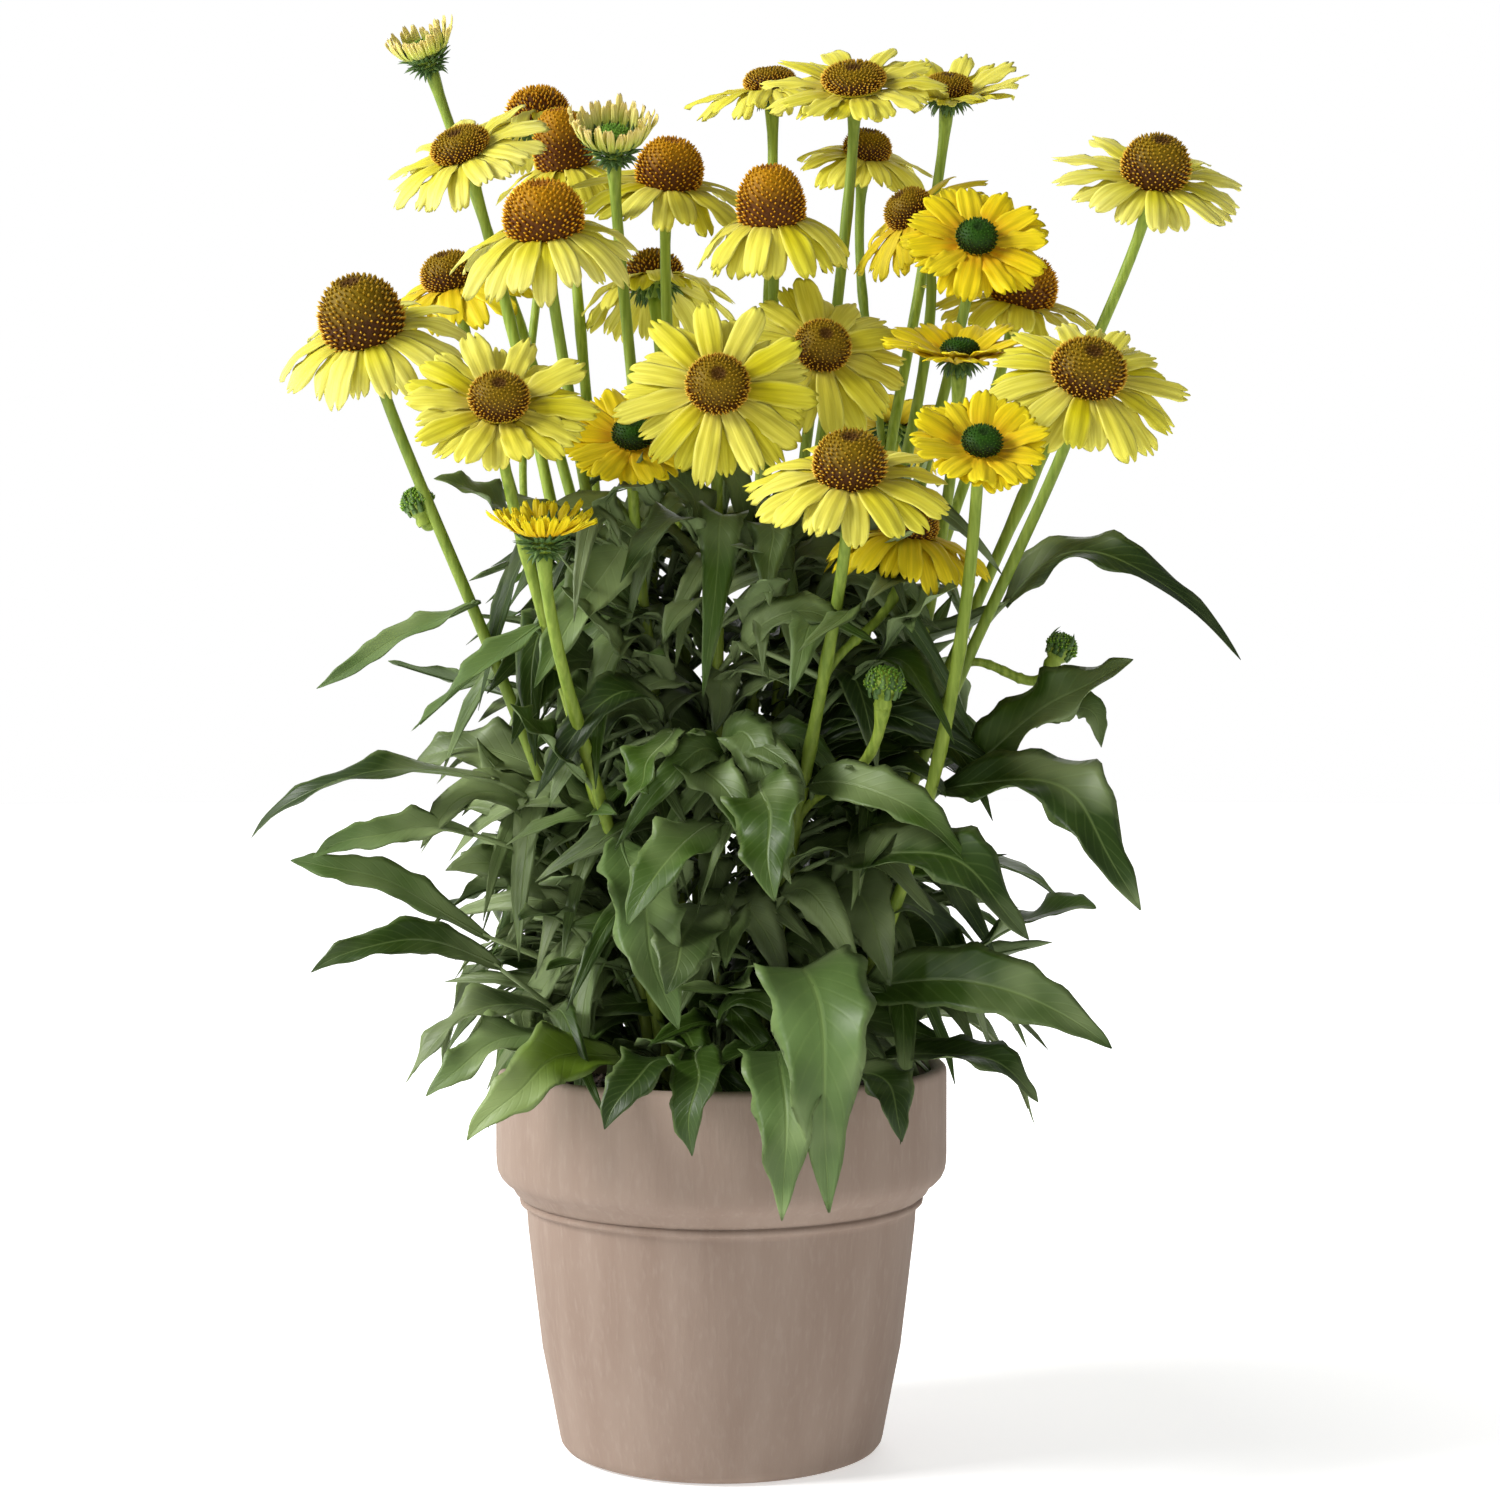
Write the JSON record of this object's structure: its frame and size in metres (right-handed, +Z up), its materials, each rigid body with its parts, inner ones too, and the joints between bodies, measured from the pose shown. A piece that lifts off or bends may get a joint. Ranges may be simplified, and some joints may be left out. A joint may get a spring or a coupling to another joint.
{
  "type": "potted rudbeckia",
  "caption": "Clump of yellow coneflowers with brown domed cones, drooping rays and lance-shaped leaves, growing in a plain matte clay pot.",
  "frame": {"origin": "centre of the pot's underside, on the surface it stands on", "axes": "+Z up along the pot's axis; the pictured front faces -Y"},
  "size_m": [0.4629, 0.358, 0.7084],
  "materials": {
    "clay": "brushed matte",
    "soil": "crumbly matt",
    "green": "satin leaf",
    "ray_yellow": "silky petal",
    "ray_gold": "silky petal",
    "ray_lime": "silky petal",
    "cone_ripe": "spiny",
    "cone_young": "spiny"
  },
  "bodies": {
    "root": {"pot": "clay", "soil": "soil", "plant": "green", "bloom_02_rays": "ray_yellow", "bloom_02_cone": "cone_ripe", "bloom_03_rays": "ray_yellow", "bloom_03_cone": "cone_ripe", "bloom_04_rays": "ray_yellow", "bloom_04_cone": "cone_ripe", "bloom_06_rays": "ray_yellow", "bloom_06_cone": "cone_ripe", "bloom_07_rays": "ray_yellow", "bloom_07_cone": "cone_ripe", "bloom_08_rays": "ray_yellow", "bloom_08_cone": "cone_ripe", "bloom_09_rays": "ray_yellow", "bloom_09_cone": "cone_ripe", "bloom_10_rays": "ray_yellow", "bloom_10_cone": "cone_ripe", "bloom_11_rays": "ray_yellow", "bloom_11_cone": "cone_ripe", "bloom_12_rays": "ray_gold", "bloom_12_cone": "cone_young", "bloom_13_rays": "ray_yellow", "bloom_13_cone": "cone_ripe", "bloom_14_rays": "ray_yellow", "bloom_14_cone": "cone_ripe", "bloom_15_rays": "ray_yellow", "bloom_15_cone": "cone_ripe", "bloom_16_rays": "ray_yellow", "bloom_16_cone": "cone_ripe", "bloom_17_rays": "ray_gold", "bloom_17_cone": "cone_young", "bloom_18_rays": "ray_gold", "bloom_18_cone": "cone_young", "bloom_19_rays": "ray_gold", "bloom_19_cone": "cone_young", "bloom_20_rays": "ray_yellow", "bloom_20_cone": "cone_ripe", "bloom_21_rays": "ray_yellow", "bloom_21_cone": "cone_ripe", "bloom_22_rays": "ray_yellow", "bloom_22_cone": "cone_ripe", "bloom_23_rays": "ray_yellow", "bloom_23_cone": "cone_ripe", "bloom_24_rays": "ray_yellow", "bloom_24_cone": "cone_ripe", "bloom_26_rays": "ray_yellow", "bloom_26_cone": "cone_ripe", "bloom_27_rays": "ray_yellow", "bloom_27_cone": "cone_ripe", "bloom_28_rays": "ray_yellow", "bloom_28_cone": "cone_ripe", "bloom_35_rays": "ray_yellow", "bloom_35_cone": "cone_ripe", "bloom_38_rays": "ray_yellow", "bloom_38_cone": "cone_ripe", "bud_01_rays": "ray_lime", "bud_05_rays": "ray_lime", "bud_30_rays": "ray_lime"}
  },
  "joints": []
}
